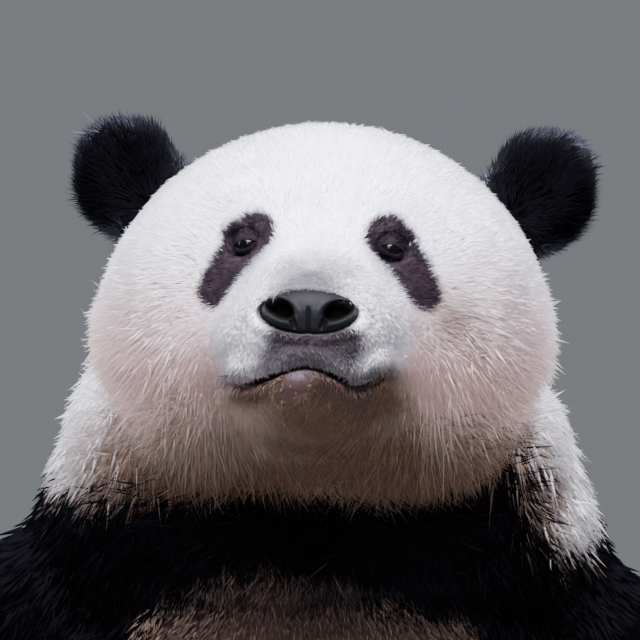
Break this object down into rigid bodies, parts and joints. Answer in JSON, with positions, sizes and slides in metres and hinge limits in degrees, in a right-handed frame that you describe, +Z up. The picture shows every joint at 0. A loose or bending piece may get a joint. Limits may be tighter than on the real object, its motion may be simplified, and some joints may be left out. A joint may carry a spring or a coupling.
{
  "type": "giant panda",
  "caption": "Life-size giant panda sitting upright on its rump, muzzle raised, hind legs out in front, soles showing, and forepaws resting on the knees.",
  "frame": {"origin": "on the floor, under the middle of the model's bounding box", "axes": "+Z up, -Y the way the panda faces, +X to the panda's left"},
  "size_m": [0.825, 0.9202, 0.9865],
  "materials": {
    "white_coat": "dense matt white fur, stained tan on the cheeks, throat and belly",
    "black_coat": "dense matt black fur with a faint blue sheen",
    "bare_skin": "moist, finely pebbled black skin",
    "eye_surface": "wet, glossy dark brown",
    "claw_horn": "worn grey-brown horn"
  },
  "bodies": {
    "root": {"head": "white_coat", "neck": "white_coat", "chest": "black_coat", "belly": "white_coat", "tail": "white_coat", "nose": "bare_skin", "ear_l": "black_coat", "eye_l": "eye_surface", "upper_arm_l": "black_coat", "forearm_l": "black_coat", "forepaw_l": "black_coat", "thigh_l": "black_coat", "shank_l": "black_coat", "hindfoot_l": "black_coat", "foreclaw_l_1": "claw_horn", "foreclaw_l_2": "claw_horn", "foreclaw_l_3": "claw_horn", "foreclaw_l_4": "claw_horn", "foreclaw_l_5": "claw_horn", "hindclaw_l_1": "claw_horn", "hindclaw_l_2": "claw_horn", "hindclaw_l_3": "claw_horn", "hindclaw_l_4": "claw_horn", "hindclaw_l_5": "claw_horn", "ear_r": "black_coat", "eye_r": "eye_surface", "upper_arm_r": "black_coat", "forearm_r": "black_coat", "forepaw_r": "black_coat", "thigh_r": "black_coat", "shank_r": "black_coat", "hindfoot_r": "black_coat", "foreclaw_r_1": "claw_horn", "foreclaw_r_2": "claw_horn", "foreclaw_r_3": "claw_horn", "foreclaw_r_4": "claw_horn", "foreclaw_r_5": "claw_horn", "hindclaw_r_1": "claw_horn", "hindclaw_r_2": "claw_horn", "hindclaw_r_3": "claw_horn", "hindclaw_r_4": "claw_horn", "hindclaw_r_5": "claw_horn"}
  },
  "joints": []
}
